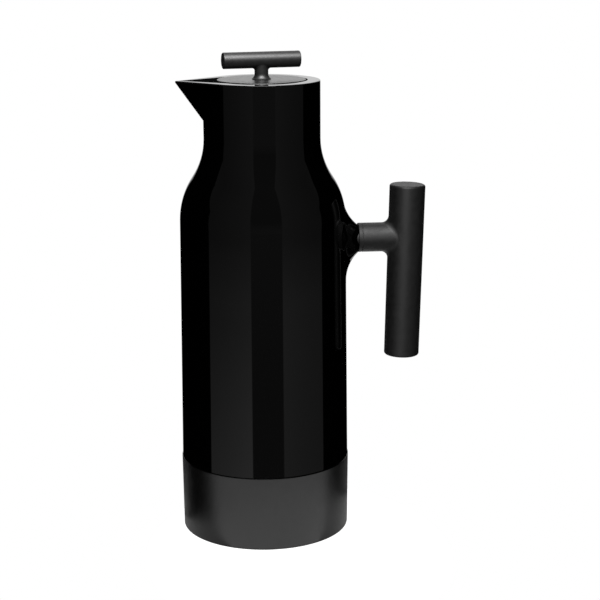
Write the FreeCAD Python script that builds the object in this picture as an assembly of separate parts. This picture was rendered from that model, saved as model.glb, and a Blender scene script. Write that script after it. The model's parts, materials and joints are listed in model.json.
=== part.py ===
import FreeCAD, Part
import math
import os

# Thermal carafe: moulded shell with a beak spout, glass vacuum flask, screw stopper and T handle.
# Millimetres, +Z up. The origin is on the body's axis, in the plane that the foot pad stands on.
# The spout points along -X and the handle along +X.

Vector = FreeCAD.Vector

# Outer shell
BASE_HEIGHT = 46.9        # standing plane to the parting line between base and shell
RIM_HEIGHT = 283.6        # standing plane to the top of the rim
BODY_RADIUS = 52.6        # shell at the parting line
BODY_DRAFT = 0.5          # degrees that the wall leans in on its way up
SHOULDER_RADIUS = 48.5    # convex arc above the wall
THROAT_RADIUS = 42.0      # concave arc below the neck
NECK_RADIUS = 35.85
NECK_LENGTH = 35.3        # straight neck, from the throat to the rim
SHELL_WALL = 3.0
RIM_THICKNESS = 3.0
RIM_WIDTH = 7.75          # flat ring between the neck's outside and the lid opening
RIM_EDGE_RADIUS = 0.7
SKIRT_LENGTH = 14.0       # part of the shell that the base cup covers

# Spout
SPOUT_OVERHANG = 17.6     # neck's outside to the tip of the beak
SPOUT_DEPTH = 24.9        # rim to the foot of the beak on the neck
SPOUT_WALL = 2.2
SPOUT_RIDGE_RADIUS = 1.0  # rounding along the keel of the beak
CHANNEL_SILL = 1.2        # bottom of the pouring channel above the collar's top edge

# Base cup and foot
BASE_PROUD = 0.35         # how far the cup's top edge stands outside the shell
BASE_TAPER = 0.5          # how much narrower the cup is at its bottom
BASE_EDGE_RADIUS = 0.5    # round the cup's lower edge
BASE_LIP_RADIUS = 0.4     # round the cup's upper edge
BASE_LIP = 1.65           # wall of the cup where it covers the skirt
BASE_WALL = 2.8
BASE_FLOOR = 3.0
PARTING_GAP = 0.35
SKIRT_CLEARANCE = 0.15
BASE_SEAL_THICKNESS = 1.2
FOOT_PROUD = 0.3          # how far the foot pad stands below the cup
FOOT_SINK = 1.4           # how deep the foot pad sits in the cup
FOOT_INSET = 3.5          # cup's edge to the foot pad

# Vacuum flask
GLASS_WALL = 1.4
VACUUM_GAP = 2.6
FLASK_GAP = 3.6           # shell's inside to the flask
FLASK_SHOULDER_RADIUS = 42.0
FLASK_THROAT_RADIUS = 30.0
FLASK_NECK_LENGTH = 8.5
FLASK_CROWN_RADIUS = 80.0
FLASK_KNUCKLE_RADIUS = 24.0
TIP_LENGTH = 4.5          # sealed glass tip under the flask
TIP_RADIUS = 3.2
TIP_END_RADIUS = 1.4
TIP_CLEARANCE = 4.5
CUSHION_THICKNESS = 8.0
CUSHION_RADIUS = 38.0
CUSHION_RISE = 7.0        # how far the cushion's edge climbs round the flask
SPACER_RADIUS = 5.0
SPACER_HEIGHT = 62.0
SPACER_COUNT = 3

# Lid and stopper
LID_GAP = 1.1             # lid disc to the rim
LID_PROUD = 0.4           # how far the lid disc stands above the rim
LID_THICKNESS = 3.0
LID_EDGE_RADIUS = 0.6
LID_LIP = 2.4             # how far the lid disc overhangs the stopper
STOPPER_LENGTH = 31.1
STOPPER_WALL = 2.2
STOPPER_FLOOR = 2.6
STOPPER_EDGE = 1.0        # chamfer round the stopper's lower edge
FLUTE_COUNT = 4
FLUTE_RADIUS = 6.0
FLUTE_DEPTH = 1.2
FLUTE_STOP = 6.0          # plain band between the flutes and the lid disc
PLUG_DEPTH = 5.0          # collar under the lid disc that closes the stopper
PLUG_WALL = 2.8
STUD_RADIUS = 4.5         # pivot that carries the sealing washer
WASHER_THICKNESS = 1.8
WASHER_MARGIN = 0.3       # stopper's side to the washer's edge
CLIP_THICKNESS = 1.2
CLIP_WIDTH = 3.5
RUNNING_GAP = 0.15        # between the turning stopper and the washer
PIVOT_CLEARANCE = 0.08
FOAM_CLEARANCE = 0.2

# Knob on the lid
KNOB_BAR_RADIUS = 4.95
KNOB_BAR_LENGTH = 48.0
KNOB_BAR_EDGE = 0.6
KNOB_BEARING = 10.0       # degrees that the closed lid's bar points off the spout's line
KNOB_HEIGHT = 11.6        # lid disc to the axis of the bar
STEM_INSET = 0.75         # how much slimmer the stem is than the bar
STEM_FLARE_RADIUS = 3.4
STEM_FLARE_SWEEP = 58.0   # degrees that the flare turns outward
STEM_FOOT = 0.4           # upright edge of the flared foot
KNOB_FILLET = 1.6
KNOB_SCREW_RADIUS = 1.5
KNOB_SCREW_HEAD_RADIUS = 3.2
KNOB_SCREW_HEAD = 2.2
KNOB_INSERT_WALL = 1.05
KNOB_INSERT_LENGTH = 6.2
KNOB_INSERT_SINK = 0.5    # lid disc to the insert's lower end

# Pouring collar and its seals
THREAD_ROOM = 1.6         # stopper to the collar's bore
SEAT_OVERLAP = 3.4        # width of the seat under the stopper
SEAT_GAP = 0.25           # washer to seat when the stopper is closed
SEAT_THICKNESS = 2.5
COLLAR_WALL = 2.4
COLLAR_DROP = 22.2        # rim to the collar's top edge
COLLAR_FLANGE = 7.0
COLLAR_FUNNEL = 4.0       # fall of the collar's top towards its bore
COLLAR_CLEARANCE = 0.2
NECK_STEP = 0.8           # ledge inside the neck that the collar is pressed against
SEAL_THICKNESS = 1.8
SEAL_SLEEVE = 7.0
SEAL_CLEARANCE = 0.1
O_RING_RADIUS = 1.0
O_RING_CLEARANCE = 0.05

# Handle
HANDLE_DROP = 13.4        # foot of the shoulder to the axis of the handle's stub
BOSS_LENGTH = 8.0         # shell to the end of the boss
BOSS_FILLET = 24.0
BOSS_EDGE_RADIUS = 0.3    # round the boss's end
STUB_RADIUS = 9.1
RING_THICKNESS = 1.8      # spacer ring between boss and stub
GASKET_THICKNESS = 0.6
GASKET_INSET = 0.7
SPIGOT_RADIUS = 6.2
SPIGOT_LENGTH = 5.5
SPIGOT_CLEARANCE = 0.15
BOSS_WEB = 3.0            # plastic that the bolt clamps
BOLT_RADIUS = 2.5
BOLT_HEAD_RADIUS = 4.2
BOLT_HEAD = 3.0
BOLT_CLEARANCE = 0.2
BOLT_WASHER_THICKNESS = 1.0
BOLT_WASHER_MARGIN = 0.5
BOLT_POCKET_CLEARANCE = 0.3
HANDLE_INSERT_WALL = 1.3
HANDLE_INSERT_LENGTH = 10.0
HANDLE_INSERT_SINK = 2.0  # stub's face to the insert
THREAD_CLEARANCE = 0.05
GRIP_REACH = 30.0         # boss to the grip's axis, at the stub
GRIP_TOP_RADIUS = 11.15
GRIP_BOTTOM_RADIUS = 11.0
GRIP_ABOVE = 33.0         # stub's axis to the grip's top end
GRIP_BELOW = 76.2         # stub's axis to the grip's bottom end
GRIP_LEAN = 1.5           # degrees that the grip's top leans outward
GRIP_FILLET = 4.5
GRIP_EDGE_RADIUS = 1.4
GRIP_WALL = 2.6
GRIP_END_WALL = 3.0
CAP_THICKNESS = 1.6
CAP_LIP = 0.6             # how far the cap's disc covers the grip's wall
CAP_PLUG = 5.0
CAP_PLUG_WALL = 1.6
CAP_CLEARANCE = 0.08

ORIGIN = Vector(0, 0, 0)
UP = Vector(0, 0, 1)
OUT = Vector(1, 0, 0)
FAR = 4 * RIM_HEIGHT      # longer than anything that is cut away


# Small helpers
def at(radius, height):
    """Point of a half section."""
    return Vector(radius, 0, height)


def segment(start, end):
    return Part.LineSegment(start, end).toShape()


def arc(centre, radius, start, end):
    """Arc of a half section between two angles, in radians from the outward direction."""
    angles = (start, (start + end) / 2, end)
    points = [at(centre.x + radius * math.cos(a), centre.z + radius * math.sin(a)) for a in angles]
    return Part.Arc(*points).toShape()


def ends(edges):
    return edges[0].firstVertex(True).Point, edges[-1].lastVertex(True).Point


def chain(*points):
    """Straight edges from point to point."""
    return [segment(start, end) for start, end in zip(points, points[1:])]


def section(edges):
    """Flat face inside a closed half section."""
    return Part.Face(Part.Wire(Part.__sortEdges__(edges)))


def turned(edges):
    """Solid swept by a closed half section."""
    return section(edges).revolve(ORIGIN, UP, 360)


def turned_points(*points):
    """Solid swept by a half section of straight sides, each point a radius and a height."""
    corners = [at(*point) for point in points]
    return turned(chain(*corners, corners[0]))


def disc(radius, low, high):
    return Part.makeCylinder(radius, high - low, Vector(0, 0, low))


def tube(inner, outer, low, high):
    return disc(outer, low, high).cut(disc(inner, low, high))


def o_ring(radius, cord_radius, height):
    return Part.makeTorus(radius, cord_radius, Vector(0, 0, height))


def rod(radius, start, end):
    """Cylinder along the handle's stub."""
    return Part.makeCylinder(radius, end - start, Vector(start, 0, STUB_HEIGHT), OUT)


def polyhedron(*faces):
    """Solid bounded by flat faces, each a list of corners."""
    sides = [Part.Face(Part.makePolygon(list(face) + [face[0]])) for face in faces]
    return Part.makeSolid(Part.makeShell(sides))


def whole(shape):
    """Shape without needless seams, as a solid where it is one piece."""
    pieces = shape.removeSplitter().Solids
    return pieces[0] if len(pieces) == 1 else Part.makeCompound(pieces)


def edges_where(shape, test, samples=7):
    """Curved and straight edges whose sampled points all pass a test."""
    return [edge for edge in shape.Edges if all(test(p) for p in edge.discretize(samples))]


def near(value, target, tolerance=0.01):
    return abs(value - target) < tolerance


def ring_edges(shape, radius, height):
    """Round edges of a turned shape at a radius and a height."""
    return edges_where(shape, lambda p: near(math.hypot(p.x, p.y), radius) and near(p.z, height))


class SideLine:
    """Side of a bottle: drafted wall, convex shoulder, concave throat and straight neck."""

    def __init__(self, wall_radius, wall_foot, draft, neck_radius, neck_foot, shoulder, throat):
        self.draft = math.radians(draft)
        self.shoulder = shoulder
        self.throat = throat
        lean = (neck_foot + shoulder * math.sin(self.draft) - wall_foot) * math.tan(self.draft)
        span = neck_radius + throat + shoulder * math.cos(self.draft) + lean - wall_radius
        self.slope = self.draft + math.acos(math.cos(self.draft) * span / (shoulder + throat))
        self.throat_centre = at(neck_radius + throat, neck_foot)
        step = at(math.cos(self.slope), math.sin(self.slope)) * (shoulder + throat)
        self.shoulder_centre = self.throat_centre - step
        self.shoulder_foot = self.shoulder_centre.z + shoulder * math.sin(self.draft)

    def wall_radius(self, height, inset=0.0):
        """Radius of the drafted wall at a height."""
        reach = self.shoulder_centre.x + (self.shoulder - inset) / math.cos(self.draft)
        return reach - (height - self.shoulder_centre.z) * math.tan(self.draft)

    def edges(self, inset, foot, top):
        """Wall, shoulder, throat and neck, moved inward by the inset."""
        bend = arc(self.shoulder_centre, self.shoulder - inset, self.draft, self.slope)
        sweep = arc(self.throat_centre, self.throat + inset, math.pi + self.slope, math.pi)
        wall = segment(at(self.wall_radius(foot, inset), foot), ends([bend])[0])
        neck_start = ends([sweep])[1]
        return [wall, bend, sweep, segment(neck_start, at(neck_start.x, top))]


# Heights and radii that follow from the driving sizes
shell_line = SideLine(BODY_RADIUS, BASE_HEIGHT, BODY_DRAFT, NECK_RADIUS, RIM_HEIGHT - NECK_LENGTH,
                      SHOULDER_RADIUS, THROAT_RADIUS)
NECK_INNER = NECK_RADIUS - SHELL_WALL
NECK_BORE = NECK_INNER - NECK_STEP
SKIRT_FOOT = BASE_HEIGHT - SKIRT_LENGTH
BASE_TOP_RADIUS = BODY_RADIUS + BASE_PROUD
BASE_FOOT_RADIUS = BASE_TOP_RADIUS - BASE_TAPER
BASE_BORE = BASE_TOP_RADIUS - BASE_LIP
BASE_INNER = BASE_FOOT_RADIUS - BASE_WALL
BASE_LEDGE = SKIRT_FOOT - BASE_SEAL_THICKNESS
FOOT_RADIUS = BASE_FOOT_RADIUS - FOOT_INSET
FOOT_TOP = FOOT_PROUD + FOOT_SINK
FLOOR_TOP = FOOT_TOP + BASE_FLOOR

LID_OPENING = NECK_RADIUS - RIM_WIDTH
LID_RADIUS = LID_OPENING - LID_GAP
LID_TOP = RIM_HEIGHT + LID_PROUD
LID_UNDERSIDE = LID_TOP - LID_THICKNESS
STOPPER_RADIUS = LID_RADIUS - LID_LIP
STOPPER_BORE = STOPPER_RADIUS - STOPPER_WALL
STOPPER_FOOT = LID_UNDERSIDE - STOPPER_LENGTH
PLUG_FOOT = LID_UNDERSIDE - PLUG_DEPTH
PLUG_MIDDLE = (PLUG_FOOT + LID_UNDERSIDE) / 2
PLUG_RADIUS = STOPPER_BORE - O_RING_CLEARANCE
WASHER_TOP = STOPPER_FOOT - RUNNING_GAP
WASHER_FOOT = WASHER_TOP - WASHER_THICKNESS
CLIP_TOP = WASHER_FOOT - RUNNING_GAP
CLIP_FOOT = CLIP_TOP - CLIP_THICKNESS
STEM_RADIUS = KNOB_BAR_RADIUS - STEM_INSET
KNOB_INSERT_RADIUS = KNOB_SCREW_RADIUS + KNOB_INSERT_WALL
KNOB_INSERT_TOP = LID_TOP + KNOB_INSERT_SINK + KNOB_INSERT_LENGTH

SEAT_TOP = WASHER_FOOT - SEAT_GAP
SEAT_FOOT = SEAT_TOP - SEAT_THICKNESS
MOUTH_RADIUS = STOPPER_RADIUS - SEAT_OVERLAP
COLLAR_BORE = STOPPER_RADIUS + THREAD_ROOM
COLLAR_TOP = RIM_HEIGHT - COLLAR_DROP
COLLAR_FLANGE_FOOT = COLLAR_TOP - COLLAR_FLANGE
COLLAR_RADIUS = NECK_INNER - COLLAR_CLEARANCE
O_RING_SEAT = NECK_INNER - O_RING_CLEARANCE - O_RING_RADIUS
O_RING_HEIGHT = COLLAR_TOP - COLLAR_FLANGE / 2

LIP_HEIGHT = SEAT_FOOT - SEAL_THICKNESS
FLASK_NECK_RADIUS = MOUTH_RADIUS + 2 * GLASS_WALL + VACUUM_GAP
SEAL_INNER = FLASK_NECK_RADIUS + SEAL_CLEARANCE
SEAL_OUTER = SEAL_INNER + SEAL_THICKNESS
SKIRT_INNER = SEAL_OUTER + SEAL_CLEARANCE
SLEEVE_FOOT = LIP_HEIGHT - SEAL_SLEEVE
FLASK_RADIUS = shell_line.wall_radius(BASE_HEIGHT, SHELL_WALL) - FLASK_GAP
FLASK_FOOT = FLOOR_TOP + CUSHION_THICKNESS
flask_line = SideLine(FLASK_RADIUS, FLASK_FOOT, 0.0, FLASK_NECK_RADIUS, LIP_HEIGHT - FLASK_NECK_LENGTH,
                      FLASK_SHOULDER_RADIUS, FLASK_THROAT_RADIUS)
INNER_GLASS = GLASS_WALL + VACUUM_GAP

STUB_HEIGHT = shell_line.shoulder_foot - HANDLE_DROP
BOSS_END = shell_line.wall_radius(STUB_HEIGHT) + BOSS_LENGTH
RING_END = BOSS_END + RING_THICKNESS
STUB_FACE = RING_END + GASKET_THICKNESS
SPIGOT_END = STUB_FACE - SPIGOT_LENGTH
WEB_OUTER = SPIGOT_END - SPIGOT_CLEARANCE
WEB_INNER = WEB_OUTER - BOSS_WEB
BOLT_HEAD_TOP = WEB_INNER - BOLT_WASHER_THICKNESS
BOLT_WASHER_RADIUS = BOLT_HEAD_RADIUS + BOLT_WASHER_MARGIN
HANDLE_INSERT_START = STUB_FACE + HANDLE_INSERT_SINK
HANDLE_INSERT_END = HANDLE_INSERT_START + HANDLE_INSERT_LENGTH
HANDLE_INSERT_RADIUS = BOLT_RADIUS + HANDLE_INSERT_WALL
GRIP_CENTRE = Vector(BOSS_END + GRIP_REACH, 0, STUB_HEIGHT)
GRIP_AXIS = Vector(math.sin(math.radians(GRIP_LEAN)), 0, math.cos(math.radians(GRIP_LEAN)))
GRIP_FOOT = GRIP_CENTRE - GRIP_AXIS * GRIP_BELOW
GRIP_CORE = GRIP_BOTTOM_RADIUS - GRIP_WALL
CAP_RADIUS = GRIP_CORE + CAP_LIP


# Outer shell
def in_rim_plane(point):
    """Whether a point lies on the rim, away from the axis."""
    return near(point.z, RIM_HEIGHT) and math.hypot(point.x, point.y) > LID_OPENING


def shell_body():
    """Full body of revolution under the outer side line."""
    side = shell_line.edges(0.0, BASE_HEIGHT, RIM_HEIGHT)
    foot, top = ends(side)
    body = turned(side + chain(top, at(0, RIM_HEIGHT), at(0, BASE_HEIGHT), foot))
    return body.makeFillet(RIM_EDGE_RADIUS, edges_where(body, in_rim_plane))


def shell_hollow():
    """Room inside the shell, from the skirt's open end to the underside of the rim."""
    side = shell_line.edges(SHELL_WALL, SKIRT_FOOT, COLLAR_TOP)
    foot, top = ends(side)
    ceiling = RIM_HEIGHT - RIM_THICKNESS
    step = chain(top, at(NECK_BORE, COLLAR_TOP), at(NECK_BORE, ceiling), at(0, ceiling))
    return turned(side + step + chain(at(0, ceiling), at(0, SKIRT_FOOT), foot))


def with_boss(body):
    """Body with the flared boss that the handle is bolted to."""
    overrun = max(0.0, BOSS_FILLET - BOSS_LENGTH)
    fall = BOSS_FILLET - math.sqrt(BOSS_FILLET ** 2 - overrun ** 2)
    core = STUB_RADIUS - fall
    joined = body.fuse(rod(core, 0, BOSS_END + BOSS_FILLET)).removeSplitter()
    wall = shell_line.wall_radius(STUB_HEIGHT)

    def on_root(point):
        from_axis = math.hypot(point.y, point.z - STUB_HEIGHT)
        return near(from_axis, core) and point.x < wall + BOSS_LENGTH / 2

    root = [edge for edge in edges_where(joined, on_root) if not isinstance(edge.Curve, Part.Line)]
    flared = joined.makeFillet(BOSS_FILLET, root)
    beyond = Part.makeBox(FAR, FAR, FAR, Vector(BOSS_END, -FAR / 2, -FAR / 2))
    boss = flared.cut(beyond)
    return boss.makeFillet(BOSS_EDGE_RADIUS, edges_where(boss, lambda p: near(p.x, BOSS_END)))


def beak(tip, circle, foot):
    """Beak from a tip in the rim plane, with flanks tangent to a circle and a keel rooted past a foot."""
    spread = math.acos(circle / tip)
    back = -circle * math.cos(spread)
    side = circle * math.sin(spread)
    nose = Vector(-tip, 0, RIM_HEIGHT)
    front_side = Vector(back, -side, RIM_HEIGHT)
    rear_side = Vector(back, side, RIM_HEIGHT)
    keel = foot - nose
    root = foot + keel * (SHELL_WALL / keel.Length)
    faces = ([nose, front_side, rear_side], [nose, root, front_side], [nose, rear_side, root],
             [root, rear_side, front_side])
    return polyhedron(*faces)


def spout():
    """Solid beak on the neck, with its keel and its top edges rounded."""
    tip = NECK_RADIUS + SPOUT_OVERHANG
    foot = Vector(-NECK_RADIUS, 0, RIM_HEIGHT - SPOUT_DEPTH)
    solid = beak(tip, NECK_RADIUS, foot)
    keel = edges_where(solid, lambda p: near(p.y, 0))
    solid = solid.makeFillet(SPOUT_RIDGE_RADIUS, keel)
    flanks = [edge for edge in edges_where(solid, in_rim_plane) if edge.BoundBox.XMin < -NECK_RADIUS]
    return solid.makeFillet(RIM_EDGE_RADIUS, flanks)


def spout_channel():
    """Pouring channel between the lid opening and the tip."""
    flank = math.acos(NECK_RADIUS / (NECK_RADIUS + SPOUT_OVERHANG))
    tip = NECK_RADIUS + SPOUT_OVERHANG - SPOUT_WALL / math.cos(flank)
    foot = Vector(-NECK_BORE, 0, COLLAR_TOP + CHANNEL_SILL)
    return beak(tip, LID_OPENING, foot)


def boss_bores():
    """Spigot socket, bolt hole and bolt pocket along the boss."""
    socket = rod(SPIGOT_RADIUS + SPIGOT_CLEARANCE, WEB_OUTER, BOSS_END)
    hole = rod(BOLT_RADIUS + BOLT_CLEARANCE, WEB_INNER, WEB_OUTER)
    pocket = rod(BOLT_WASHER_RADIUS + BOLT_POCKET_CLEARANCE, FLASK_RADIUS, WEB_INNER)
    return [socket, hole, pocket]


def outer_shell():
    body = with_boss(shell_body())
    skirt = disc(BASE_BORE - SKIRT_CLEARANCE, SKIRT_FOOT, BASE_HEIGHT)
    body = body.fuse([spout(), skirt])
    opening = disc(LID_OPENING, RIM_HEIGHT - RIM_THICKNESS, RIM_HEIGHT)
    return whole(body.cut([shell_hollow(), opening, spout_channel()] + boss_bores()))


# Base
def base_cup():
    top = BASE_HEIGHT - PARTING_GAP
    cup = turned_points(
        (0, FOOT_TOP), (FOOT_RADIUS, FOOT_TOP), (FOOT_RADIUS, FOOT_PROUD), (BASE_FOOT_RADIUS, FOOT_PROUD),
        (BASE_TOP_RADIUS, top), (BASE_BORE, top), (BASE_BORE, BASE_LEDGE), (BASE_INNER, BASE_LEDGE),
        (BASE_INNER, FLOOR_TOP), (0, FLOOR_TOP))
    cup = cup.makeFillet(BASE_EDGE_RADIUS, ring_edges(cup, BASE_FOOT_RADIUS, FOOT_PROUD))
    return whole(cup.makeFillet(BASE_LIP_RADIUS, ring_edges(cup, BASE_TOP_RADIUS, top)))


def base_seal():
    return tube(BASE_INNER, BASE_BORE - SKIRT_CLEARANCE, BASE_LEDGE, SKIRT_FOOT)


def foot_pad():
    return disc(FOOT_RADIUS, 0, FOOT_TOP)


# Vacuum flask
def flask_side(inset, top, start=0.0):
    """Flask outline from a radius on its bottom to the mouth, moved inward by the inset."""
    crown_centre = at(0, FLASK_FOOT + FLASK_CROWN_RADIUS)
    crown_radius = FLASK_CROWN_RADIUS - inset
    reach = FLASK_CROWN_RADIUS - FLASK_KNUCKLE_RADIUS
    turn = math.asin((FLASK_RADIUS - FLASK_KNUCKLE_RADIUS) / reach) - math.pi / 2
    knuckle_centre = crown_centre + at(math.cos(turn), math.sin(turn)) * reach
    crown = arc(crown_centre, crown_radius, math.asin(start / crown_radius) - math.pi / 2, turn)
    knuckle = arc(knuckle_centre, FLASK_KNUCKLE_RADIUS - inset, turn, 0)
    return [crown, knuckle] + flask_line.edges(inset, knuckle_centre.z, top)


def flask_inner():
    """Inner glass, with the lip that reaches over the outer glass."""
    outside = flask_side(INNER_GLASS, LIP_HEIGHT - GLASS_WALL)
    inside = flask_side(INNER_GLASS + GLASS_WALL, LIP_HEIGHT)
    (outer_foot, outer_top), (inner_foot, inner_top) = ends(outside), ends(inside)
    lip = chain(outer_top, at(FLASK_NECK_RADIUS, outer_top.z), at(FLASK_NECK_RADIUS, LIP_HEIGHT), inner_top)
    return turned(outside + lip + inside + chain(inner_foot, outer_foot))


def flask_outer():
    """Outer glass, with its sealed tip below."""
    outside = flask_side(0.0, LIP_HEIGHT - GLASS_WALL, TIP_RADIUS)
    inside = flask_side(GLASS_WALL, LIP_HEIGHT - GLASS_WALL)
    (outer_foot, outer_top), (inner_foot, inner_top) = ends(outside), ends(inside)
    tip_foot = FLASK_FOOT - TIP_LENGTH
    tip = chain(inner_foot, at(0, tip_foot), at(TIP_END_RADIUS, tip_foot), outer_foot)
    return turned(outside + chain(outer_top, inner_top) + inside + tip)


def flask_spacers():
    """Curved pads that hold the two glass walls apart."""
    slack = SEAL_CLEARANCE / 2
    inner = FLASK_RADIUS - INNER_GLASS + slack
    outer = FLASK_RADIUS - GLASS_WALL - slack
    band = tube(inner, outer, SPACER_HEIGHT - SPACER_RADIUS, SPACER_HEIGHT + SPACER_RADIUS)
    pads = []
    for index in range(SPACER_COUNT):
        pin = Part.makeCylinder(SPACER_RADIUS, FLASK_RADIUS, Vector(0, 0, SPACER_HEIGHT), OUT)
        pin.rotate(ORIGIN, UP, 360 / SPACER_COUNT * (index + 0.5))
        pads += band.common(pin).Solids
    return Part.makeCompound(pads)


def flask_cushion():
    """Soft ring on the base's floor, hollowed to the flask's rounded bottom."""
    hole = TIP_RADIUS + TIP_CLEARANCE
    top = FLASK_FOOT + CUSHION_RISE
    low = chain(at(hole, top), at(hole, FLOOR_TOP), at(CUSHION_RADIUS, FLOOR_TOP), at(CUSHION_RADIUS, top))
    bed = section(low + chain(at(CUSHION_RADIUS, top), at(hole, top)))
    side = flask_side(-SEAL_CLEARANCE, LIP_HEIGHT)
    flask_foot, flask_top = ends(side)
    flask_room = section(side + chain(flask_top, at(0, LIP_HEIGHT), flask_foot))
    return bed.cut(flask_room).Faces[0].revolve(ORIGIN, UP, 360)


# Collar and seals in the neck
def pour_collar():
    tube_radius = COLLAR_BORE + COLLAR_WALL
    skirt_radius = SKIRT_INNER + COLLAR_WALL
    collar = turned_points(
        (COLLAR_BORE, SEAT_TOP), (COLLAR_BORE, COLLAR_TOP - COLLAR_FUNNEL), (NECK_BORE, COLLAR_TOP),
        (COLLAR_RADIUS, COLLAR_TOP), (COLLAR_RADIUS, COLLAR_FLANGE_FOOT), (tube_radius, COLLAR_FLANGE_FOOT),
        (tube_radius, SEAT_TOP), (skirt_radius, SEAT_TOP), (skirt_radius, SLEEVE_FOOT),
        (SKIRT_INNER, SLEEVE_FOOT), (SKIRT_INNER, SEAT_FOOT), (MOUTH_RADIUS, SEAT_FOOT),
        (MOUTH_RADIUS, SEAT_TOP))
    half = O_RING_RADIUS + SEAL_CLEARANCE
    groove = tube(O_RING_SEAT - half, NECK_RADIUS, O_RING_HEIGHT - half, O_RING_HEIGHT + half)
    return whole(collar.cut(groove))


def collar_o_ring():
    return o_ring(O_RING_SEAT, O_RING_RADIUS, O_RING_HEIGHT)


def flask_seal():
    """Soft ring of angle section over the flask's lip."""
    return turned_points(
        (MOUTH_RADIUS, LIP_HEIGHT), (MOUTH_RADIUS, SEAT_FOOT), (SEAL_OUTER, SEAT_FOOT),
        (SEAL_OUTER, SLEEVE_FOOT), (SEAL_INNER, SLEEVE_FOOT), (SEAL_INNER, LIP_HEIGHT))


# Handle
def grip_rod(radius, low, high):
    """Cylinder along the grip, with its ends measured up from the stub's axis."""
    return Part.makeCylinder(radius, high - low, GRIP_CENTRE + GRIP_AXIS * low, GRIP_AXIS)


def handle_grip():
    length = GRIP_ABOVE + GRIP_BELOW
    bar = Part.makeCone(GRIP_BOTTOM_RADIUS, GRIP_TOP_RADIUS, length, GRIP_FOOT, GRIP_AXIS)
    grip = bar.fuse(rod(STUB_RADIUS, STUB_FACE, GRIP_CENTRE.x)).removeSplitter()

    def on_junction(point):
        from_stub = math.hypot(point.y, point.z - STUB_HEIGHT)
        return near(from_stub, STUB_RADIUS) and point.x > STUB_FACE + GRIP_FILLET

    junction = [edge for edge in edges_where(grip, on_junction) if not isinstance(edge.Curve, Part.Line)]
    grip = grip.makeFillet(GRIP_FILLET, junction)

    def on_end(point):
        height = (point - GRIP_CENTRE).dot(GRIP_AXIS)
        return near(height, GRIP_ABOVE) or near(height, -GRIP_BELOW)

    grip = grip.makeFillet(GRIP_EDGE_RADIUS, edges_where(grip, on_end))
    core = grip_rod(GRIP_CORE, GRIP_END_WALL - GRIP_BELOW, GRIP_ABOVE)
    cap_seat = grip_rod(CAP_RADIUS + CAP_CLEARANCE, GRIP_ABOVE - CAP_THICKNESS, GRIP_ABOVE)
    spigot = rod(SPIGOT_RADIUS, SPIGOT_END, STUB_FACE)
    insert_bore = rod(HANDLE_INSERT_RADIUS, SPIGOT_END, HANDLE_INSERT_END)
    return whole(grip.fuse(spigot).cut([core, cap_seat, insert_bore]))


def grip_cap():
    """Flush cap with a short plug that closes the grip's open top."""
    cap_foot = GRIP_ABOVE - CAP_THICKNESS
    plug_foot = cap_foot - CAP_PLUG
    plug_radius = GRIP_CORE - CAP_CLEARANCE
    cap = grip_rod(CAP_RADIUS, cap_foot, GRIP_ABOVE)
    plug = grip_rod(plug_radius, plug_foot, cap_foot)
    hollow = grip_rod(plug_radius - CAP_PLUG_WALL, plug_foot, cap_foot)
    return whole(cap.fuse(plug).cut(hollow))


def spigot_ring(radius, start, end):
    """Ring round the spigot."""
    return rod(radius, start, end).cut(rod(SPIGOT_RADIUS + SPIGOT_CLEARANCE, start, end))


def handle_ring():
    return spigot_ring(STUB_RADIUS, BOSS_END, RING_END)


def handle_gasket():
    return spigot_ring(STUB_RADIUS - GASKET_INSET, RING_END, STUB_FACE)


def handle_bolt():
    head = rod(BOLT_HEAD_RADIUS, BOLT_HEAD_TOP - BOLT_HEAD, BOLT_HEAD_TOP)
    shank = rod(BOLT_RADIUS, BOLT_HEAD_TOP, HANDLE_INSERT_END)
    return whole(head.fuse(shank))


def handle_washer():
    hole = rod(BOLT_RADIUS + BOLT_CLEARANCE, BOLT_HEAD_TOP, WEB_INNER)
    return rod(BOLT_WASHER_RADIUS, BOLT_HEAD_TOP, WEB_INNER).cut(hole)


def handle_insert():
    hole = rod(BOLT_RADIUS + THREAD_CLEARANCE, HANDLE_INSERT_START, HANDLE_INSERT_END)
    return rod(HANDLE_INSERT_RADIUS, HANDLE_INSERT_START, HANDLE_INSERT_END).cut(hole)


# Lid, knob and stopper
def lid_cover():
    """Lid disc with the collar below it that closes the stopper."""
    plate = disc(LID_RADIUS, LID_UNDERSIDE, LID_TOP)
    plate = plate.makeFillet(LID_EDGE_RADIUS, ring_edges(plate, LID_RADIUS, LID_TOP))
    plug = tube(PLUG_RADIUS - PLUG_WALL, PLUG_RADIUS, PLUG_FOOT, LID_UNDERSIDE)
    half = O_RING_RADIUS + O_RING_CLEARANCE
    groove = tube(STOPPER_BORE - 2 * half, STOPPER_BORE, PLUG_MIDDLE - half, PLUG_MIDDLE + half)
    hole = disc(KNOB_SCREW_RADIUS + BOLT_CLEARANCE, LID_UNDERSIDE, LID_TOP)
    return whole(plate.fuse(plug).cut([groove, hole]))


def lid_o_ring():
    return o_ring(STOPPER_BORE - O_RING_CLEARANCE - O_RING_RADIUS, O_RING_RADIUS, PLUG_MIDDLE)


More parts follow.
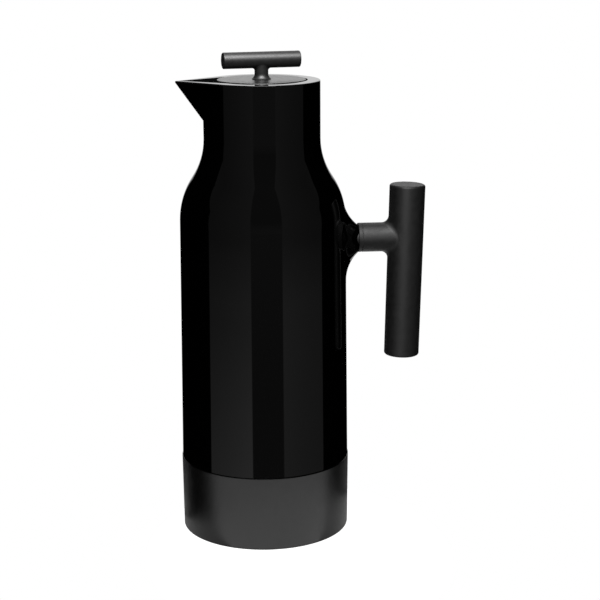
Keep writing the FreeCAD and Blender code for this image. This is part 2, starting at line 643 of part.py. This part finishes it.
def lid_knob():
    """Round bar on a stem that flares to a foot on the lid disc."""
    axis = LID_TOP + KNOB_HEIGHT
    sweep = math.radians(STEM_FLARE_SWEEP)
    flare_top = LID_TOP + STEM_FOOT + STEM_FLARE_RADIUS * math.sin(sweep)
    flare = arc(at(STEM_RADIUS + STEM_FLARE_RADIUS, flare_top), STEM_FLARE_RADIUS, sweep - math.pi, -math.pi)
    flare_start, flare_end = ends([flare])
    foot_radius = flare_start.x
    upper = chain(flare_end, at(STEM_RADIUS, axis), at(0, axis), at(0, LID_TOP))
    stem = turned([flare] + upper + chain(at(0, LID_TOP), at(foot_radius, LID_TOP), flare_start))
    half = KNOB_BAR_LENGTH / 2
    bar = Part.makeCylinder(KNOB_BAR_RADIUS, KNOB_BAR_LENGTH, Vector(-half, 0, axis), OUT)
    bar = bar.makeFillet(KNOB_BAR_EDGE, edges_where(bar, lambda p: near(abs(p.x), half)))
    knob = stem.fuse(bar).removeSplitter()

    def on_junction(point):
        return near(math.hypot(point.x, point.y), STEM_RADIUS) and point.z > flare_top + KNOB_FILLET

    junction = [edge for edge in edges_where(knob, on_junction) if not isinstance(edge.Curve, Part.Line)]
    knob = knob.makeFillet(KNOB_FILLET, junction)
    bore = disc(KNOB_INSERT_RADIUS, LID_TOP, KNOB_INSERT_TOP)
    knob = whole(knob.cut(bore))
    knob.rotate(ORIGIN, UP, KNOB_BEARING)
    return knob


def knob_insert():
    bore = KNOB_SCREW_RADIUS + THREAD_CLEARANCE
    return tube(bore, KNOB_INSERT_RADIUS, LID_TOP + KNOB_INSERT_SINK, KNOB_INSERT_TOP)


def knob_screw():
    head = disc(KNOB_SCREW_HEAD_RADIUS, LID_UNDERSIDE - KNOB_SCREW_HEAD, LID_UNDERSIDE)
    shank = disc(KNOB_SCREW_RADIUS, LID_UNDERSIDE, KNOB_INSERT_TOP)
    return whole(head.fuse(shank))


def stopper_body():
    """Fluted cup under the lid, with the pivot for the sealing washer below it."""
    cup = disc(STOPPER_RADIUS, STOPPER_FOOT, LID_UNDERSIDE)
    cup = cup.makeChamfer(STOPPER_EDGE, ring_edges(cup, STOPPER_RADIUS, STOPPER_FOOT))
    cup = cup.fuse(disc(STUD_RADIUS, CLIP_FOOT, STOPPER_FOOT))
    flute_centre = STOPPER_RADIUS + FLUTE_RADIUS - FLUTE_DEPTH
    cuts = [disc(STOPPER_BORE, STOPPER_FOOT + STOPPER_FLOOR, LID_UNDERSIDE)]
    for index in range(FLUTE_COUNT):
        flute = disc(FLUTE_RADIUS, STOPPER_FOOT, LID_UNDERSIDE - FLUTE_STOP)
        flute.translate(Vector(flute_centre, 0, 0))
        flute.rotate(ORIGIN, UP, 360 / FLUTE_COUNT * index)
        cuts.append(flute)
    return whole(cup.cut(cuts))


def stopper_foam():
    return disc(STOPPER_BORE - FOAM_CLEARANCE, STOPPER_FOOT + STOPPER_FLOOR, PLUG_FOOT - FOAM_CLEARANCE)


def seal_washer():
    return tube(STUD_RADIUS + PIVOT_CLEARANCE, STOPPER_RADIUS - WASHER_MARGIN, WASHER_FOOT, WASHER_TOP)


def washer_clip():
    return tube(STUD_RADIUS, STUD_RADIUS + CLIP_WIDTH, CLIP_FOOT, CLIP_TOP)


PIECES = (
    outer_shell, base_cup, base_seal, foot_pad,
    flask_inner, flask_outer, flask_spacers, flask_cushion,
    pour_collar, collar_o_ring, flask_seal,
    handle_grip, grip_cap, handle_ring, handle_gasket, handle_bolt, handle_washer, handle_insert,
    lid_cover, lid_o_ring, lid_knob, knob_insert, knob_screw,
    stopper_body, stopper_foam, seal_washer, washer_clip,
)

os.makedirs("parts", exist_ok=True)
for piece in PIECES:
    piece().exportStep("parts/" + piece.__name__ + ".step")
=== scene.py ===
import json
import math

import bmesh
import bpy
from mathutils import Matrix, Quaternion, Vector


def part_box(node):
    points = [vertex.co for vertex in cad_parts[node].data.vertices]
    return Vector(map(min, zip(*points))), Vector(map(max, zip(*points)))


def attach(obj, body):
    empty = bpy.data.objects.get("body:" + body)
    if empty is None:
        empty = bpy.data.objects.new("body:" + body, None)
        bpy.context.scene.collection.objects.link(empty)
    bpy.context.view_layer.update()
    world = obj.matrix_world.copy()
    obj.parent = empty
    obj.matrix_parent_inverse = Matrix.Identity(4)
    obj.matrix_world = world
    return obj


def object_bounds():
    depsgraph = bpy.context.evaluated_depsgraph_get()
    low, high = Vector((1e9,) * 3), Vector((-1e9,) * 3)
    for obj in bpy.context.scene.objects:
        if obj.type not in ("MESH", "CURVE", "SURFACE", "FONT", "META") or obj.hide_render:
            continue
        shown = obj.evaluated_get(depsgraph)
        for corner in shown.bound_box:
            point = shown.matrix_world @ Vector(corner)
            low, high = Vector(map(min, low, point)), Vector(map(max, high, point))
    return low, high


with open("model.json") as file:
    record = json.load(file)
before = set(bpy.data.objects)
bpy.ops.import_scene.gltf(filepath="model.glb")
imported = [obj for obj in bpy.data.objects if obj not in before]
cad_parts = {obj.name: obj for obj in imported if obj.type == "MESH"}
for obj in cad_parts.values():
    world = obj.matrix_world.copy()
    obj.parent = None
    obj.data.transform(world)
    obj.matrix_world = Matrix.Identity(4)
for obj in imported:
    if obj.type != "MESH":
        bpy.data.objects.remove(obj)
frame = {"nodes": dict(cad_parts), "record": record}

# Thermal carafe: glossy black shell with a beak spout, matte base, T handle and T knob on the lid.
# Metres, +Z up, spout along -X and handle along +X, as in the frame.

CAD_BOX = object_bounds()
NODES = frame["nodes"]
MM = 0.001
WHITE = (1, 1, 1, 1)

# Camera, fitted to the photograph's 600 by 600 pixels
PHOTO_WIDTH = 600
FOCAL_PIXELS = 1604.0
SENSOR = 36.0
CAMERA_DISTANCE = 0.977       # carafe's axis to the camera, on the floor plan
CAMERA_HEIGHT = 0.3831
CAMERA_BEARING = 4.0          # degrees that the camera stands towards the spout
CAMERA_YAW = 5.333            # degrees that it looks towards the handle
CAMERA_PITCH = 13.644         # degrees that it looks down
CAMERA_ROLL = -0.270

# Table: a small oval top, pale enough to vanish in the white background
TABLE_RADII = (0.093, 0.122)
TABLE_CENTRE = (0.016, -0.057)
TABLE_COLOUR = 0.8
TABLE_IN_GLOSS = 0.55         # its colour where the gloss mirrors it
TABLE_GLOW = 0.75             # what the camera sees on top of the light that the table gets
TABLE_ROUGHNESS = 0.8
TABLE_SIDES = 160

# What the gloss mirrors: bearings in degrees from the front towards the handle, heights as a
# direction's rise from -1 straight down to 1 straight up, and brightness where 1 is white
FRONT_GAP = (-21.0, 22.0)     # between the two panels
FRONT_BRIGHTNESS = 0.072
FRONT_RISE = 0.03             # added in front of the neck
FRONT_RISE_HEIGHTS = (-0.28, -0.14)
FRONT_FALL_HEIGHTS = (-0.10, 0.1)
PANEL_REACH = 84.0            # outer edges of the panels, on both sides
PANEL_SPREAD = 16.0           # how much further round the panels' tops reach
PANEL_TOP_HEIGHTS = (0.2, 0.56)
PANEL_BRIGHTNESS = (0.205, 0.118)
PANEL_HEIGHTS = (-0.222, -0.185)
PANEL_FALL = (1.16, 0.62)     # from the inner to the outer edges
PANEL_EDGE = 0.6
LEFT_FOOT_BRIGHTNESS = 0.2    # added towards the left panel's foot
LEFT_FOOT_HEIGHTS = (-0.34, -0.235)
BACKDROP_HALF_WIDTH = 8.0
BACKDROP_TOP_SPREAD = 17.0    # how much further round it reaches high up
BACKDROP_TOP_HEIGHTS = (-0.2, 0.15)
BACKDROP_FOOT_SPREAD = 32.0   # how much further round it reaches at its foot
BACKDROP_FOOT_HEIGHTS = (-0.40, -0.345)
BACKDROP_EDGE = 3.0

# Even light from all round on matte surfaces
FILL_LIGHT = 0.08

# Soft boxes: bearing and elevation in degrees, brightness where 1 is white
LAMP_DISTANCE = 1.1
LAMP_SIZE = (0.6, 0.5)
FRONT_LAMP = (-8.0, 15.0, 5.0)
HIGH_LAMP = (0.0, 50.0, 10.5)
TOP_LAMP = (0.0, 76.0, 5.0)
KNOB_LAMP = (0.0, 60.0, 26.0)

# Light sheet that lies on the table in front of the carafe, for the base alone
SHEET_BEARING = 3.0
SHEET_BRIGHTNESS = 0.78
SHEET_START = 0.045           # carafe's axis to the sheet's near side
SHEET_SIZE = (0.7, 0.3)
SHEET_HEIGHT = 1.0 * MM

# Thread between stopper and collar, with the lead of the lid's joint
THREAD_STARTS = 4
THREAD_BEARING = 14.0         # degrees from the handle's line to the first ridge
THREAD_LIFT = 2.5 * MM        # washer to the lowest point of the stopper's ridges
THREAD_ROOM = 1.6 * MM        # stopper to the collar's bore
THREAD_SWEEP = 62.0           # degrees that each ridge runs round
THREAD_HEIGHT = 1.0 * MM
THREAD_ROOT = 2.0 * MM
THREAD_CREST = 0.9 * MM
THREAD_SINK = 0.15 * MM       # how deep a ridge is rooted in its wall
THREAD_STEPS = 48
THREAD_FADE = 0.2             # share of a ridge's length over which each end rises
THREAD_END = 0.1              # share of the full section at a ridge's ends, buried in the wall

# Surfaces
NOISE_RANGE = (0.3, 0.7)      # where most values of a noise lie
PLASTIC_IOR = 1.5
LID_IOR = 1.6
FINE_GRAIN = 0.4 * MM
COARSE_GRAIN = 0.6 * MM
GRAIN_DEPTH = 0.12 * MM
FOAM_CELL = 1.6 * MM


# Node building blocks
class Nodes:
    """A node tree with a few short ways to add nodes."""

    def __init__(self, owner):
        owner.use_nodes = True
        self.tree = owner.node_tree

    def add(self, kind, **values):
        node = self.tree.nodes.new(kind)
        for key, value in values.items():
            setattr(node, key, value)
        return node

    def link(self, output, target):
        self.tree.links.new(output, target)

    def math(self, operation, *values):
        """Result of an operation on numbers and outputs of other nodes."""
        node = self.add("ShaderNodeMath", operation=operation)
        for socket, value in zip(node.inputs, values):
            if isinstance(value, (int, float)):
                socket.default_value = value
            else:
                self.link(value, socket)
        return node.outputs[0]

    def ramp(self, value, span, levels):
        """From one level to the other over a span of values, and steady beyond it."""
        node = self.add("ShaderNodeMapRange")
        names = ("From Min", "From Max", "To Min", "To Max")
        for name, number in zip(names, (*span, *levels)):
            node.inputs[name].default_value = number
        self.link(value, node.inputs["Value"])
        return node.outputs["Result"]


class Shader(Nodes):
    """A material's nodes, laid out in the object's own metres."""

    def __init__(self, name):
        self.material = bpy.data.materials.new(name)
        super().__init__(self.material)
        self.surface = self.tree.nodes["Principled BSDF"]
        self.place = self.add("ShaderNodeTexCoord").outputs["Object"]

    def set(self, **values):
        """Values that are the same all over the surface, set on the shader itself."""
        for key, value in values.items():
            self.surface.inputs[key.replace("_", " ")].default_value = value

    def scaled(self, size, stretch=(1, 1, 1)):
        """Places counted in lengths of one size."""
        node = self.add("ShaderNodeMapping")
        node.inputs["Scale"].default_value = [factor / size for factor in stretch]
        self.link(self.place, node.inputs["Vector"])
        return node.outputs["Vector"]

    def noise(self, size, detail=3.0, stretch=(1, 1, 1)):
        """Noise whose features are about as large as the size, in metres."""
        node = self.add("ShaderNodeTexNoise")
        node.inputs["Scale"].default_value = 1.0
        node.inputs["Detail"].default_value = detail
        self.link(self.scaled(size, stretch), node.inputs["Vector"])
        return node.outputs["Fac"]

    def cells(self, size):
        """Distance from the middle of each of many small cells."""
        node = self.add("ShaderNodeTexVoronoi")
        node.inputs["Scale"].default_value = 1.0
        self.link(self.scaled(size), node.inputs["Vector"])
        return node.outputs["Distance"]

    def mix(self, factor, first, second):
        """Base colour between two colours."""
        node = self.add("ShaderNodeMix", data_type="RGBA")
        node.inputs["A"].default_value = (*first, 1)
        node.inputs["B"].default_value = (*second, 1)
        self.link(factor, node.inputs["Factor"])
        self.link(node.outputs["Result"], self.surface.inputs["Base Color"])

    def colour(self, factor, dark, light):
        """Base colour that follows a noise."""
        self.mix(self.ramp(factor, NOISE_RANGE, (0.0, 1.0)), dark, light)

    def roughness(self, factor, low, high):
        """Roughness that follows a noise."""
        self.link(self.ramp(factor, NOISE_RANGE, (low, high)), self.surface.inputs["Roughness"])

    def bump(self, height, strength, distance):
        """Relief on top of any relief that is there already."""
        node = self.add("ShaderNodeBump")
        node.inputs["Strength"].default_value = strength
        node.inputs["Distance"].default_value = distance
        self.link(height, node.inputs["Height"])
        normal = self.surface.inputs["Normal"]
        if normal.is_linked:
            self.link(normal.links[0].from_socket, node.inputs["Normal"])
        self.link(node.outputs["Normal"], normal)


def grey(value):
    return (value, value, value)


# Materials
def shell_gloss():
    """High gloss black plastic with the faint waviness of a moulding."""
    look = Shader("shell_gloss")
    look.set(IOR=PLASTIC_IOR)
    look.colour(look.noise(20 * MM), dark=grey(0.0005), light=grey(0.0010))
    look.roughness(look.noise(4 * MM, detail=6.0), low=0.02, high=0.04)
    look.bump(look.noise(30 * MM, detail=1.0), strength=0.02, distance=0.5 * MM)
    return look.material


def matte_plastic(name, dark, light, smooth, rough, grain=FINE_GRAIN, ior=PLASTIC_IOR):
    """Fine spark-eroded texture on dark plastic."""
    look = Shader(name)
    look.set(IOR=ior)
    look.colour(look.noise(6 * MM, detail=5.0), grey(dark), grey(light))
    look.roughness(look.noise(3 * MM, detail=4.0), smooth, rough)
    look.bump(look.noise(4 * grain), strength=0.15, distance=GRAIN_DEPTH)
    look.bump(look.noise(grain), strength=0.25, distance=GRAIN_DEPTH)
    return look.material


def base_matte():
    return matte_plastic("base_matte", dark=0.0014, light=0.0024, smooth=0.33, rough=0.39)


def handle_matte():
    return matte_plastic("handle_matte", dark=0.002, light=0.004, smooth=0.46, rough=0.54)


def knob_matte():
    return matte_plastic("knob_matte", dark=0.003, light=0.005, smooth=0.42, rough=0.48)


def lid_satin():
    return matte_plastic("lid_satin", dark=0.012, light=0.020, smooth=0.28, rough=0.34, ior=LID_IOR)


def collar_plastic():
    return matte_plastic("collar_plastic", dark=0.010, light=0.016, smooth=0.25, rough=0.35,
                         grain=COARSE_GRAIN)


def stopper_plastic():
    return matte_plastic("stopper_plastic", dark=0.012, light=0.018, smooth=0.28, rough=0.38,
                         grain=COARSE_GRAIN)


def rubber_black():
    """Dull rubber with a dusty bloom."""
    look = Shader("rubber_black")
    look.colour(look.noise(5 * MM, detail=6.0), dark=grey(0.010), light=grey(0.022))
    look.roughness(look.noise(2 * MM), low=0.62, high=0.78)
    look.bump(look.noise(0.7 * MM), strength=0.3, distance=0.15 * MM)
    return look.material


def silicone(name, dark, light, glow):
    """Soft moulded silicone that lets some light through its skin."""
    look = Shader(name)
    look.set(Subsurface_Weight=glow, Subsurface_Scale=1.5 * MM)
    look.colour(look.noise(8 * MM), dark, light)
    look.roughness(look.noise(3 * MM), low=0.36, high=0.46)
    look.bump(look.noise(1.2 * MM), strength=0.1, distance=0.1 * MM)
    return look.material


def silicone_grey():
    return silicone("silicone_grey", dark=(0.33, 0.34, 0.35), light=(0.39, 0.40, 0.41), glow=0.1)


def silicone_clear():
    return silicone("silicone_clear", dark=(0.62, 0.63, 0.63), light=(0.70, 0.71, 0.71), glow=0.4)


def foam_white():
    """Closed-cell foam, darker towards the edges of its cells."""
    look = Shader("foam_white")
    edges = look.ramp(look.cells(FOAM_CELL), NOISE_RANGE, (0.0, 1.0))
    look.mix(edges, first=(0.88, 0.88, 0.86), second=(0.78, 0.78, 0.75))
    look.roughness(look.noise(4 * MM), low=0.8, high=0.95)
    look.bump(look.cells(FOAM_CELL), strength=0.5, distance=0.4 * MM)
    return look.material


def silvered_glass():
    """Glass with a silver film behind it."""
    look = Shader("silvered_glass")
    look.set(Metallic=1.0, Coat_Weight=1.0, Coat_Roughness=0.02)
    look.colour(look.noise(25 * MM, detail=5.0), dark=(0.80, 0.81, 0.82), light=(0.90, 0.91, 0.92))
    look.roughness(look.noise(12 * MM, detail=4.0), low=0.05, high=0.14)
    look.bump(look.noise(14 * MM), strength=0.05, distance=0.5 * MM)
    return look.material


def mineral_pad():
    """Pressed mineral fibre."""
    look = Shader("mineral_pad")
    look.colour(look.noise(0.8 * MM, detail=6.0), dark=(0.52, 0.50, 0.46), light=(0.70, 0.68, 0.64))
    look.roughness(look.noise(1 * MM), low=0.85, high=0.95)
    look.bump(look.noise(0.5 * MM, detail=5.0), strength=0.6, distance=0.2 * MM)
    return look.material


def turned_metal(name, dark, light, smooth, rough, stretch):
    """Metal with the fine lines that its making left on it."""
    look = Shader(name)
    look.set(Metallic=1.0)
    lines = look.noise(0.3 * MM, detail=4.0, stretch=stretch)
    look.colour(look.noise(3 * MM, detail=5.0), dark, light)
    look.roughness(lines, smooth, rough)
    look.bump(lines, strength=0.15, distance=0.05 * MM)
    return look.material


def zinc_steel():
    return turned_metal("zinc_steel", dark=(0.56, 0.57, 0.58), light=(0.66, 0.66, 0.65),
                        smooth=0.24, rough=0.38, stretch=(1, 1, 0.1))


def brass():
    return turned_metal("brass", dark=(0.66, 0.47, 0.20), light=(0.76, 0.57, 0.28),
                        smooth=0.22, rough=0.34, stretch=(0.1, 1, 1))


LOOKS = {look.__name__: look for look in (
    shell_gloss, base_matte, handle_matte, knob_matte, lid_satin, collar_plastic, stopper_plastic,
    rubber_black, silicone_grey, silicone_clear, foam_white, silvered_glass, mineral_pad,
    zinc_steel, brass)}
MATERIALS = {}


def finish_of(slot):
    """The material of a slot, made when it is first asked for."""
    if slot not in MATERIALS:
        MATERIALS[slot] = LOOKS[slot]()
    return MATERIALS[slot]


def dress(mesh, slot):
    mesh.materials.clear()
    mesh.materials.append(finish_of(slot))


def dress_nodes():
    for subpart in frame["record"]["subparts"]:
        dress(NODES[subpart["node"]].data, subpart["material_slot"])


def object_from(name, mesh):
    """A scene object that takes over a finished mesh."""
    data = bpy.data.meshes.new(name)
    mesh.to_mesh(data)
    mesh.free()
    piece = bpy.data.objects.new(name, data)
    bpy.context.collection.objects.link(piece)
    return piece


# Thread ridges
def thread_lead():
    """Rise of the lid in one turn, from its coupling."""
    coupling = frame["record"]["behaviour"]["couplings"][0]
    return coupling["ratio"] * 2 * math.pi


def ridge_height(share):
    """Share of the full section along a ridge, whose ends stay inside the wall."""
    rise = min(1.0, min(share, 1 - share) / THREAD_FADE)
    return THREAD_END + (1 - THREAD_END) * rise * rise * (3 - 2 * rise)


def ridge_profile(wall, outward, tall):
    """Radius and height of the four corners of a ridge's section."""
    root = wall - outward * THREAD_SINK
    crest = root + outward * (THREAD_SINK + THREAD_HEIGHT) * tall
    half_root = THREAD_ROOT / 2
    half_crest = THREAD_CREST / 2 * tall
    return ((root, -half_root), (crest, -half_crest), (crest, half_crest), (root, half_root))


def add_ridge(mesh, wall, outward, start, low):
    """One helical ridge on a round wall: outward is 1 on an outer wall and -1 in a bore."""
    rings = []
    for step in range(THREAD_STEPS + 1):
        share = step / THREAD_STEPS
        turn = math.radians(THREAD_SWEEP) * share
        angle = math.radians(start) + turn
        middle = low + thread_lead() * turn / (2 * math.pi)
        profile = ridge_profile(wall, outward, ridge_height(share))
        ring = [mesh.verts.new((r * math.cos(angle), r * math.sin(angle), middle + z)) for r, z in profile]
        rings.append(ring)
    for near, far in zip(rings, rings[1:]):
        for side in range(len(near)):
            other = (side + 1) % len(near)
            mesh.faces.new((near[side], near[other], far[other], far[side]))
    mesh.faces.new(rings[0])
    mesh.faces.new(rings[-1])


def thread(name, body, slot, wall, outward, low):
    """All the ridges of one thread as one piece."""
    mesh = bmesh.new()
    for index in range(THREAD_STARTS):
        add_ridge(mesh, wall, outward, THREAD_BEARING + 360 / THREAD_STARTS * index, low)
    bmesh.ops.recalc_face_normals(mesh, faces=mesh.faces)
    piece = object_from(name, mesh)
    for face in piece.data.polygons:
        face.use_smooth = True
    dress(piece.data, slot)
    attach(piece, body)


def threads():
    """Ridges on the stopper, and those in the collar half a pitch below them."""
    stopper_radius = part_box("stopper_body")[1][0]
    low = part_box("seal_washer")[1][2] + THREAD_LIFT
    half_pitch = thread_lead() / THREAD_STARTS / 2
    thread("stopper_thread", "lid", "stopper_plastic", stopper_radius, 1, low)
    thread("collar_thread", "carafe", "collar_plastic", stopper_radius + THREAD_ROOM, -1, low - half_pitch)


# Stage
def floor_white():
    """Pale table that glows for the camera and is dimmer in the gloss."""
    look = Shader("floor_white")
    look.set(Roughness=TABLE_ROUGHNESS, Emission_Color=WHITE)
    path = look.add("ShaderNodeLightPath")
    look.mix(path.outputs["Is Glossy Ray"], grey(TABLE_COLOUR), grey(TABLE_IN_GLOSS))
    glow = look.math("MULTIPLY", path.outputs["Is Camera Ray"], TABLE_GLOW)
    look.link(glow, look.surface.inputs["Emission Strength"])
    return look.material


def floor():
    mesh = bmesh.new()
    bmesh.ops.create_circle(mesh, cap_ends=True, segments=TABLE_SIDES, radius=1)
    table = object_from("floor", mesh)
    table.location = (*TABLE_CENTRE, 0)
    table.scale = (*TABLE_RADII, 1)
    table.data.materials.append(floor_white())


class Studio(Nodes):
    """World nodes that give each direction a brightness."""

    def __init__(self):
        world = bpy.data.worlds.new("studio")
        super().__init__(world)
        world.cycles.sampling_method = "NONE"
        bpy.context.scene.world = world
        split = self.add("ShaderNodeSeparateXYZ")
        self.link(self.add("ShaderNodeTexCoord").outputs["Generated"], split.inputs[0])
        across, back, self.height = (split.outputs[axis] for axis in "XYZ")
        self.bearing = self.math("ARCTAN2", across, self.math("MULTIPLY", back, -1.0))
        self.back_bearing = self.math("ARCTAN2", across, back)

    def total(self, first, *others):
        for other in others:
            first = self.math("ADD", first, other)
        return first

    def edge(self, angle, place, softness):
        """Nothing before a place in degrees and one after it."""
        span = (math.radians(place - softness), math.radians(place + softness))
        return self.ramp(angle, span, (0.0, 1.0))

    def before(self, angle, place, softness):
        """One before a place in degrees and nothing after it."""
        return self.math("SUBTRACT", 1.0, self.edge(angle, place, softness))


def panels(studio):
    """Two tall panels beside the camera, dimmer towards their outer edges and brighter at the left foot."""
    aside = studio.math("ABSOLUTE", studio.bearing)
    left = studio.before(studio.bearing, FRONT_GAP[0], PANEL_EDGE)
    right = studio.edge(studio.bearing, FRONT_GAP[1], PANEL_EDGE)
    level = studio.ramp(studio.height, PANEL_HEIGHTS, PANEL_BRIGHTNESS)
    foot = studio.ramp(studio.height, LEFT_FOOT_HEIGHTS, (LEFT_FOOT_BRIGHTNESS, 0.0))
    both = studio.math("MULTIPLY", studio.total(left, right), level)
    lit = studio.total(both, studio.math("MULTIPLY", left, foot))
    width = (math.radians(FRONT_GAP[1]), math.radians(PANEL_REACH))
    lit = studio.math("MULTIPLY", lit, studio.ramp(aside, width, PANEL_FALL))
    spread = studio.ramp(studio.height, PANEL_TOP_HEIGHTS, (0.0, math.radians(PANEL_SPREAD)))
    inside = studio.before(studio.math("SUBTRACT", aside, spread), PANEL_REACH, PANEL_EDGE)
    return studio.math("MULTIPLY", lit, inside)


def front(studio):
    """The dim room between the panels."""
    start, end = (studio.edge(studio.bearing, place, PANEL_EDGE) for place in FRONT_GAP)
    levels = (FRONT_BRIGHTNESS, FRONT_BRIGHTNESS + FRONT_RISE)
    rise = studio.ramp(studio.height, FRONT_RISE_HEIGHTS, levels)
    fall = studio.ramp(studio.height, FRONT_FALL_HEIGHTS, (0.0, FRONT_RISE))
    level = studio.math("SUBTRACT", rise, fall)
    return studio.math("MULTIPLY", studio.math("SUBTRACT", start, end), level)


def backdrop(studio):
    """The white sheet behind the carafe, square to the camera."""
    top = studio.ramp(studio.height, BACKDROP_TOP_HEIGHTS, (0.0, math.radians(BACKDROP_TOP_SPREAD)))
    foot = studio.ramp(studio.height, BACKDROP_FOOT_HEIGHTS, (math.radians(BACKDROP_FOOT_SPREAD), 0.0))
    off_centre = studio.math("SUBTRACT", studio.back_bearing, math.radians(CAMERA_BEARING))
    aside = studio.math("ABSOLUTE", off_centre)
    reach = studio.math("SUBTRACT", aside, studio.total(top, foot))
    return studio.before(reach, BACKDROP_HALF_WIDTH, BACKDROP_EDGE)


def studio_world():
    """White for the camera, even fill for matte surfaces, and panels for the gloss."""
    studio = Studio()
    path = studio.add("ShaderNodeLightPath")
    mirror = studio.math("MAXIMUM", path.outputs["Is Glossy Ray"], path.outputs["Is Transmission Ray"])
    gloss = studio.math("MULTIPLY", studio.total(panels(studio), front(studio), backdrop(studio)), mirror)
    fill = studio.math("MULTIPLY", path.outputs["Is Diffuse Ray"], FILL_LIGHT)
    level = studio.math("MAXIMUM", studio.total(gloss, fill), path.outputs["Is Camera Ray"])
    background = studio.tree.nodes["Background"]
    background.inputs["Color"].default_value = WHITE
    studio.link(level, background.inputs["Strength"])


def direction(bearing, elevation):
    """Unit vector towards a bearing and an elevation in degrees."""
    turn = math.radians(bearing)
    rise = math.radians(elevation)
    return Vector((math.sin(turn) * math.cos(rise), -math.cos(turn) * math.cos(rise), math.sin(rise)))


def area_lamp(name, size, brightness, place, turn):
    """Flat lamp that the camera doesn't see."""
    width, height = size
    data = bpy.data.lights.new(name, "AREA")
    data.shape = "RECTANGLE"
    data.size = width
    data.size_y = height
    data.energy = brightness * math.pi * width * height
    lamp = bpy.data.objects.new(name, data)
    bpy.context.collection.objects.link(lamp)
    lamp.location = place
    lamp.rotation_mode = "QUATERNION"
    lamp.rotation_quaternion = turn
    lamp.visible_camera = False
    return lamp


def soft_box(name, bearing, elevation, brightness):
    """Lamp that faces the carafe's middle."""
    middle = Vector((0, 0, (CAD_BOX[0][2] + CAD_BOX[1][2]) / 2))
    out = direction(bearing, elevation)
    return area_lamp(name, LAMP_SIZE, brightness, middle + out * LAMP_DISTANCE, out.to_track_quat("Z", "Y"))


def light_sheet():
    """Lamp that lies flat and shines up."""
    place = direction(SHEET_BEARING, 0) * (SHEET_START + SHEET_SIZE[1] / 2)
    place.z = SHEET_HEIGHT
    face_up = Quaternion((1, 0, 0), math.pi)
    turn = Quaternion((0, 0, 1), math.radians(SHEET_BEARING)) @ face_up
    return area_lamp("light_sheet", SHEET_SIZE, SHEET_BRIGHTNESS, place, turn)


def aim(lamp, state, *names):
    """Keep a lamp's light off a few pieces, or on them alone."""
    pieces = bpy.data.collections.new(lamp.name + "_pieces")
    for name in names:
        pieces.objects.link(NODES[name])
    for piece in pieces.collection_objects:
        piece.light_linking.link_state = state
    lamp.light_linking.receiver_collection = pieces


def lamps():
    """Each lamp lights only the pieces that should show it."""
    aim(soft_box("front_lamp", *FRONT_LAMP), "EXCLUDE", "outer_shell", "base_cup", "lid_knob", "lid_cover")
    aim(soft_box("high_lamp", *HIGH_LAMP), "EXCLUDE", "outer_shell", "base_cup")
    aim(light_sheet(), "INCLUDE", "base_cup")
    aim(soft_box("knob_lamp", *KNOB_LAMP), "INCLUDE", "lid_knob")
    aim(soft_box("top_lamp", *TOP_LAMP), "EXCLUDE", "base_cup")


def camera():
    """The photograph's point of view."""
    yaw, pitch, roll = (math.radians(angle) for angle in (CAMERA_YAW, CAMERA_PITCH, CAMERA_ROLL))
    forward = Vector((math.sin(yaw) * math.cos(pitch), math.cos(yaw) * math.cos(pitch), -math.sin(pitch)))
    level = Vector((math.cos(yaw), -math.sin(yaw), 0))
    up = level.cross(forward)
    right = level * math.cos(roll) + up * math.sin(roll)
    top = up * math.cos(roll) - level * math.sin(roll)
    turn = Matrix((right, top, -forward)).transposed().to_4x4()
    place = direction(-CAMERA_BEARING, 0) * CAMERA_DISTANCE
    place.z = CAMERA_HEIGHT
    data = bpy.data.cameras.new("camera")
    data.sensor_width = SENSOR
    data.lens = SENSOR * FOCAL_PIXELS / PHOTO_WIDTH
    eye = bpy.data.objects.new("camera", data)
    eye.matrix_world = Matrix.Translation(place) @ turn
    bpy.context.collection.objects.link(eye)
    bpy.context.scene.camera = eye


dress_nodes()
threads()
floor()
studio_world()
lamps()
camera()
bpy.context.scene.view_settings.view_transform = "Standard"
